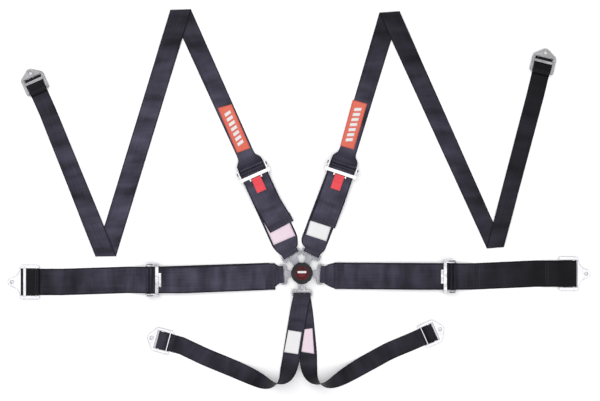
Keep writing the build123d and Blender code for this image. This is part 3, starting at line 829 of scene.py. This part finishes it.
def shoulder(side, tail, tail_angle, top, bottom, red, info, info_colour):
    """One shoulder strap's main run, with both its folds, and its patch."""
    name = "shoulder_" + side
    begin = threaded(name, tail, tail_angle, SLIM_FALL)
    high = 2.7
    inner = run([(begin[-1, :3], begin[-1, 3:]), edge(*top, MID)], 5.0, 1.6)[1:]
    flipped_top, flipped_bottom = edge(*top, high), edge(*bottom, MID)
    middle = run([
        flipped_top,
        between(flipped_top, flipped_bottom, 0.14, high),
        between(flipped_top, flipped_bottom, 0.2, MID),
        flipped_bottom,
    ], 5.0, 1.6)
    low = edge(*bottom, high)
    back = matched(anchor_start(name, SLIM, "band"), low)
    outer = run([low, between(low, back, 0.24, high), between(low, back, 0.33, MID), back], 5.0, 1.6)
    bump_top = crease(inner[-1, :3], inner[-1, 3:], 90, inner[-1, 2], middle[0, 2])
    bump_low = crease(middle[-1, :3], middle[-1, 3:], 270, middle[-1, 2], outer[0, 2])
    rows = np.concatenate([begin, inner, bump_top, middle, bump_low, outer])
    obj = strap_piece(name, rows, [f"shoulder_web_{part}_{side}" for part in ("inner", "middle", "outer")])
    sewing = sew(name + "_hem_sewing", box_seam(rows, 8, 22, 0.9), obj, name + "_strap")
    red_patch(side, *red)
    cad = f"shoulder_info_label_{side}"
    info_label(f"shoulder_info_{side}", info, WEB_T + 0.15, info_colour, f"shoulder_base_{side}", cad)


def inset(near, far, low, high, left, right):
    """A smaller four-cornered area inside one, by shares along and across."""
    def at(t, s):
        a = np.array(near[0]) * (1 - t) + np.array(far[0]) * t
        b = np.array(near[1]) * (1 - t) + np.array(far[1]) * t
        return tuple(a * (1 - s) + b * s)
    return (at(low, left), at(low, right)), (at(high, left), at(high, right))


def border(near, far, trim, z, count):
    """Sewing lines just inside the edges of a patch, trimmed by a share of its length."""
    first, last = inset(near, far, trim, 1 - trim, 0.04, 0.96)
    ring = [first[0], first[1], last[1], last[0], first[0]]
    lines = []
    for a, b in zip(ring, ring[1:]):
        line = []
        for t in np.linspace(0, 1, count):
            x, y = np.array(a) * (1 - t) + np.array(b) * t
            line.append((x, y, z + ripple(x, y)))
        lines.append(line)
    return lines


PATCH_T, LABEL_T = 0.75, 0.4
PATCH_BARS = 7


def red_patch(side, near, far):
    """A red woven patch with a raised rim and a plain row of slanted white bars."""
    name, body = f"shoulder_patch_{side}", f"shoulder_{side}_strap"
    low = WEB_T + 0.2
    face = patch(name + "_face", near, far, low, PATCH_T, "red_patch", (12, 36))
    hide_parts(name)
    lines = border(near, far, 0.012, low + PATCH_T, 30)
    rim = stitches(name + "_rim", lines, "thread_red", radius=0.75)
    for piece in (face, rim):
        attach(piece, body)
    lean = (np.array(far[0]) - np.array(near[0])) * 0.045
    for k in range(PATCH_BARS):
        start = 0.115 + 0.11 * k
        sides = inset(near, far, start, start + 0.07, 0.26, 0.74)
        first, last = [(left, tuple(np.array(right) + lean)) for left, right in sides]
        bar = patch(f"{name}_bar_{k + 1}", first, last, low + 0.72, 0.25, "patch_white", (6, 3))
        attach(bar, body)
    return face


def info_label(name, corners, low, colour, body, cad):
    """A blank sewn label."""
    face = patch(name, *corners, low, LABEL_T, "label_" + colour, (10, 14))
    lines = border(*corners, 0.04, low + LABEL_T + 0.02, 16)
    sewing = stitches(name + "_sewing", lines, "thread_white", radius=0.28)
    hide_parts(cad)
    for piece in (face, sewing):
        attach(piece, body)


def lap(side, tail):
    """One lap strap's main run from its hemmed tail end, through its adjuster."""
    name = "lap_" + side
    where = adjuster_frame(name)
    angle = math.degrees(math.atan2(where[2][1], where[2][0]))
    begin = threaded(name, tail, angle, WIDE_FALL)
    onward = run([(begin[-1, :3], begin[-1, 3:]), anchor_start(name, WIDE, "band")], 5.0, 1.6)
    rows = np.concatenate([begin, onward[1:]])
    obj = strap_piece(name, rows, [f"lap_web_{side}"])
    past = nearest(rows, *(where[0] + where[2] * 62)[:2])
    lines = box_seam(rows, 8, 22, 0.9) + box_seam(rows, past, past + 21, 0.86)
    lines += [seam_across(rows, past + 37, 0.9)]
    sewing = sew(name + "_hem_sewing", lines, obj, name + "_strap")


# A strap's middle round a tongue's bar and round a pivot bar: (distance on from the bar, height).
ROUND_TONGUE = (
    (22, 1.0), (12, 1.6), (5, 3.6), (0, 3.7), (-3.2, 4.3), (-4.5, 5.6), (-4.5, 7.4), (-3.2, 8.8),
    (0, 9.2), (3.5, 8.9), (7, 7.4))
ROUND_PIVOT = (
    (-22, BAR_MID), (-2, MID + 0.15), (1.5, 1.3), (3.1, 3.8), (1.6, 6.2), (-1.5, 6.5), (-6, 4.6),
    (-11, 2.8), (-19, 2.6))


def lower(strap, side, tongue_angle, reach, sections, body, cad):
    """The webbing between a tongue and an adjuster: round the tongue's bar and round the pivot bar."""
    name = f"{strap}_{side}"
    where = adjuster_frame(name)
    beside, ahead = heading(tongue_angle - 90), heading(tongue_angle)
    over = [(reach + y, z) for y, z in ROUND_TONGUE]
    start = section_path(np.zeros(3), beside, ahead, SLIM - 2, over, 1.0)
    first = (start[-1, :3], start[-1, 3:])
    path = [(PIVOT_Y + y, z) for y, z in ROUND_PIVOT]
    close = matched(station(where, path[0][0], WIDE, path[0][1]), first)
    onward = run([first] + sections + [close], 4.0, 1.2)
    end = matched_rows(section_path(*where, WIDE, path, 1.0), 0, first)
    rows = np.concatenate([start[:-1], onward[:-1], end])
    obj = web(f"{name}_lower_webbing", rows)
    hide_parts(cad)
    at = travelled(start)[-1]
    lines = [seam_across(rows, at + d, 0.85) for d in (6, 12, 30, 34)]
    lines += [seam_along(rows, at + 6, at + 34, s) for s in (-0.85, 0.85)]
    sewing = sew(f"{name}_lower_sewing", lines, obj, body)


# A strap's middle over a grip bar, and a pull tab's round its pin, from the cross bar.
OVER_GRIP = (
    (12.6, 10.6), (12.6, 13.0), (12.8, 16.0), (13.8, 19.8), (15.8, 22.2), (17.8, 22.4), (19.4, 20.6),
    (20.4, 18.4), (21.2, 17.8), (22.0, 18.4), (23.0, 20.6), (24.8, 22.3), (27.0, 22.0), (28.8, 19.4),
    (29.5, 16.4), (29.2, 14.4), (28.4, 13.3))
# Faces below this height take the deeper black cloth: painted shadow in the valleys between the ridges.
VALLEY_TOP = 19.6  # the cloth is in shadow below this height
ROUND_PIN = (
    (-26, 12.0), (-17, 12.2), (-12, 14.0), (-9.6, 14.7), (-7.6, 14.0), (-6.8, 12.5), (-7.6, 11.0),
    (-9.6, 10.5), (-20, 10.5), (-36, 10.4), (-44, 10.6), (-50, 11.4))
TAB_WIDE, TAB_T = 28.0, 1.2


def wrap(name):
    """The strap's turn over the grip bar: two raised ridges between the side rails."""
    rows = section_path(*adjuster_frame(name), WIDE - 1.0, OVER_GRIP, 0.9, 0.7)
    obj = web(f"{name}_grip_wrap", rows)
    # The faces low in the valleys take the deeper black: painted shadow.
    for face in obj.data.polygons:
        if face.center.z < VALLEY_TOP * MM:
            face.material_index = 1
    lines = [seam_across(rows, travelled(rows)[-1] - 3, 0.9)]
    sewing = sew(f"{name}_grip_sewing", lines, obj, name + "_grip")


def tab(side):
    """The red pull tab, folded round its pin and sewn to itself."""
    name = "shoulder_" + side
    rows = section_path(*adjuster_frame(name), TAB_WIDE, ROUND_PIN, 0.8, 0.7)
    obj = web(f"{name}_tab_webbing", rows, thick=TAB_T, material="red_webbing")
    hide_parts(name + "_pull_tab")
    lines = box_seam(rows, 2.5, 8.0, 0.82) + [seam_across(rows, travelled(rows)[-1] - 3, 0.85)]
    sewing = sew(f"{name}_tab_sewing", lines, obj, name + "_tab", "red_webbing")


CROTCH_REACH = 62.0  # the crotch tongue's bar, measured from the lock's middle


def crotch(side, tongue_path, upper, turn):
    """One crotch strap: down from the tongue, on edge round its turn, and out to its bracket."""
    name = "crotch_" + side
    path = [(CROTCH_REACH + y, z) for y, z in tongue_path]
    rounds = section_path(np.zeros(3), heading(180), heading(270), SLIM, path, 1.0)
    rounds = matched_rows(rounds, -1, upper[0])
    sections = [(rounds[-1, :3], rounds[-1, 3:])] + upper
    sections += [rolled(centre, angle, SLIM, roll) for centre, angle, roll in turn]
    finish = matched(anchor_start(name, SLIM, "through"), sections[-1])
    rows = np.concatenate([rounds[:-1], run(sections + [finish], 4.0, 3.0)])
    obj = strap_piece(name, rows, [f"crotch_upper_web_{side}", f"crotch_lower_web_{side}"])
    at = travelled(rounds)[-1]
    lines = [seam_across(rows, at + d, 0.85) for d in (4, 9)]
    sewing = sew(name + "_sewing", lines, obj, "crotch_base")


shoulder(
    "left", (-58, 134), 117.9,
    top=((-378, 753), (-318, 755)),
    bottom=((-593, 49), (-533, 50)),
    red=(((-186, 344), (-148, 358)), ((-242, 473), (-202, 484))),
    info=(((-81, 80), (-19, 107)), ((-117, 163), (-56, 190))),
    info_colour="pink",
)
shoulder(
    "right", (59, 141), 72.0,
    top=((222, 745), (281, 749)),
    bottom=((530, 72), (580, 76)),
    red=(((110, 365), (149, 354)), ((146, 497), (187, 485))),
    info=(((12, 110), (70, 91)), ((37, 190), (96, 171))),
    info_colour="white",
)
lap("left", (-78, -10))
lap("right", (95, -8))
lower(
    "shoulder", "left", 121.0, 64.0,
    [edge((-73, 61), (-11, 80), 2.6), edge((-84, 74), (-13, 107), MID)],
    "shoulder_base_left", "shoulder_lower_web_left",
)
lower(
    "shoulder", "right", 64.0, 64.0,
    [edge((0, 82), (65, 63), 2.6), edge((-2, 98), (72, 80), MID)],
    "shoulder_base_right", "shoulder_lower_web_right",
)
lower(
    "lap", "left", 184.0, 58.0,
    [edge((-70, -34), (-70, 23), 2.6), edge((-80, -42), (-80, 26), 1.6), edge((-96, -47), (-96, 29), MID)],
    "cam_lock", "lap_lower_web_left",
)
lower(
    "lap", "right", -4.0, 58.0,
    [edge((74, 24), (74, -37), 2.6), edge((96, 30), (96, -46), MID)],
    "lap_base_right", "lap_lower_web_right",
)
for adjuster in ADJUSTERS:
    wrap(adjuster)
for side in SIDES:
    tab(side)

crotch(
    "left",
    [(2, 3.75), (-2, 3.8), (-4.4, 5.2), (-4.6, 7.2), (-3, 8.8), (0, 9.3), (4, 9.2)],
    [edge((16, -112), (-34, -108), 2.95), edge((-4, -238), (-54, -231), 2.95)],
    [
        ((-34, -262), 260, 6), ((-39, -279), 252, 18), ((-44, -293), 247, 32), ((-52, -306), 234, 54),
        ((-67, -316), 204, 90), ((-80, -319), 184, 114), ((-94, -318), 171, 135),
        ((-113, -311.5), 158, 152), ((-143, -297.5), 154, 167), ((-190, -277), 156, 180),
        ((-280, -240), 158, 180),
    ],
)
crotch(
    "right",
    [(2.4, 3.75), (8, 3.0)],
    [edge((32, -112), (-18, -116), MID), edge((44, -236), (-6, -240), MID)],
    [
        ((18.5, -262), 277, -6), ((21.5, -279), 283, -22), ((25.5, -293), 291, -38),
        ((33, -306), 306, -57), ((48, -317), 338, -90), ((64, -320), 358, -116),
        ((82, -317), 16, -132), ((102, -307), 29, -146), ((123, -295), 30, -160),
        ((170, -268), 31, -180), ((250, -224), 27, -180),
    ],
)
for strap, width, lacings in (("shoulder", SLIM, ("band", "band")), ("lap", WIDE, ("band", "over"))):
    for side, lacing in zip(SIDES, lacings):
        cad = f"{strap}_web_outer_{side}" if strap == "shoulder" else f"{strap}_web_{side}"
        anchor_end(f"{strap}_{side}", width, lacing, cad)
for side in SIDES:
    anchor_end(f"crotch_{side}", SLIM, "through", f"crotch_lower_web_{side}")
LABEL_NODE = "crotch_info_labels"
left_label = ((-39, -164), (-1, -170)), ((-51, -227), (-11, -233))
right_label = ((5, -162), (30, -159)), ((-2, -226), (35, -232))
info_label("crotch_info_left", left_label, 3.75, "white", "crotch_base", LABEL_NODE)
info_label("crotch_info_right", right_label, 1.65, "pink", "crotch_base", LABEL_NODE)


# ---------------------------------------------------------------- emblem
def disc(name, outline, thick, material, hole=None):
    """A thin raised shape on the knob's emblem, with an optional matching hole outline."""
    count = len(outline)
    heights = (EMBLEM_TOP, EMBLEM_TOP + thick)
    points = [(x, y, z) for z in heights for x, y in outline]
    faces = []
    for k in range(count):
        n = (k + 1) % count
        faces.append((k, n, count + n, count + k))
    if hole is None:
        faces += [tuple(range(count - 1, -1, -1)), tuple(range(count, 2 * count))]
    else:
        points += [(x, y, z) for z in heights for x, y in hole]
        for k in range(count):
            n = (k + 1) % count
            inner, upper = 2 * count, 3 * count
            faces += [(count + k, count + n, upper + n, upper + k), (n, k, inner + k, inner + n)]
            faces.append((inner + n, inner + k, upper + k, upper + n))
    obj = make_object(name, points, faces, smooth=False)
    obj.data.materials.append(MATERIALS[material])
    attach(obj, "knob")
    return obj


def circle(radius):
    """A ring of plan points."""
    turns = [2 * math.pi * k / 72 for k in range(72)]
    return [(radius * math.cos(t), radius * math.sin(t)) for t in turns]


def rounded_bar(half_x, half_y, corner, up):
    """A rounded rectangle of plan points."""
    outline = []
    for cx, cy, start in ((1, 1, 0), (-1, 1, 90), (-1, -1, 180), (1, -1, 270)):
        for step in range(7):
            turn = math.radians(start + 15 * step)
            x = cx * (half_x - corner) + corner * math.cos(turn)
            outline.append((x, cy * (half_y - corner) + corner * math.sin(turn) + up))
    return outline


EMBLEM_TOP = 28.2
bar = disc("emblem_bar", rounded_bar(12.6, 3.1, 1.4, 3.6), 0.4, "emblem_white")
ring = disc("emblem_ring", circle(18.6), 0.35, "emblem_red", circle(17.2))
field = disc("emblem_field", rounded_bar(9.6, 4.0, 3.6, -6.2), 0.3, "emblem_red")


# ---------------------------------------------------------------- stage
SKY = [(0.0, (0.12, 0.12, 0.13)), (0.4, (0.3, 0.3, 0.32)), (0.75, (0.85, 0.85, 0.86)), (0.93, (1, 1, 1))]
SKY_STRENGTH = 1.42
LAMPS = (("key", (-2.6, 3.2, 3.0), 2.8, 62.0), ("fill", (3.2, -2.4, 3.2), 3.2, 46.0))
AIM = Vector((-0.1, 0.2, 0))
CAMERA_PLACE = (-0.0055, 0.2078, 4.0)


def build_stage():
    """Pale floor, a soft sky, two wide lamps and a camera that looks straight down."""
    bpy.ops.mesh.primitive_plane_add(size=14.0, location=(0, 0.2, -0.0004))
    floor = bpy.context.object
    floor.name = "floor"
    material, tree, shader = nodes_of("floor_paper")
    shader.inputs["Base Color"].default_value = (0.93, 0.93, 0.935, 1)
    shader.inputs["Roughness"].default_value = 0.85
    shader.inputs["Specular IOR Level"].default_value = 0.1
    floor.data.materials.append(material)
    world = bpy.data.worlds.new("studio")
    bpy.context.scene.world = world
    world.use_nodes = True
    tree = world.node_tree
    background = tree.nodes["Background"]
    place = tree.nodes.new("ShaderNodeTexCoord").outputs["Generated"]
    split = tree.nodes.new("ShaderNodeSeparateXYZ")
    tree.links.new(place, split.inputs[0])
    tree.links.new(ramp(tree, split.outputs["Z"], SKY), background.inputs["Color"])
    background.inputs["Strength"].default_value = SKY_STRENGTH
    for name, place, size, power in LAMPS:
        light = bpy.data.lights.new(name, "AREA")
        light.size = size
        light.energy = power
        obj = bpy.data.objects.new(name, light)
        obj.location = place
        obj.rotation_euler = (AIM - Vector(place)).to_track_quat("-Z", "Y").to_euler()
        bpy.context.scene.collection.objects.link(obj)
    camera = bpy.data.cameras.new("camera")
    camera.lens = 83.6
    camera.sensor_width = 36.0
    obj = bpy.data.objects.new("camera", camera)
    obj.location = CAMERA_PLACE
    bpy.context.scene.collection.objects.link(obj)
    bpy.context.scene.camera = obj
    bpy.context.scene.view_settings.view_transform = "Standard"


build_stage()
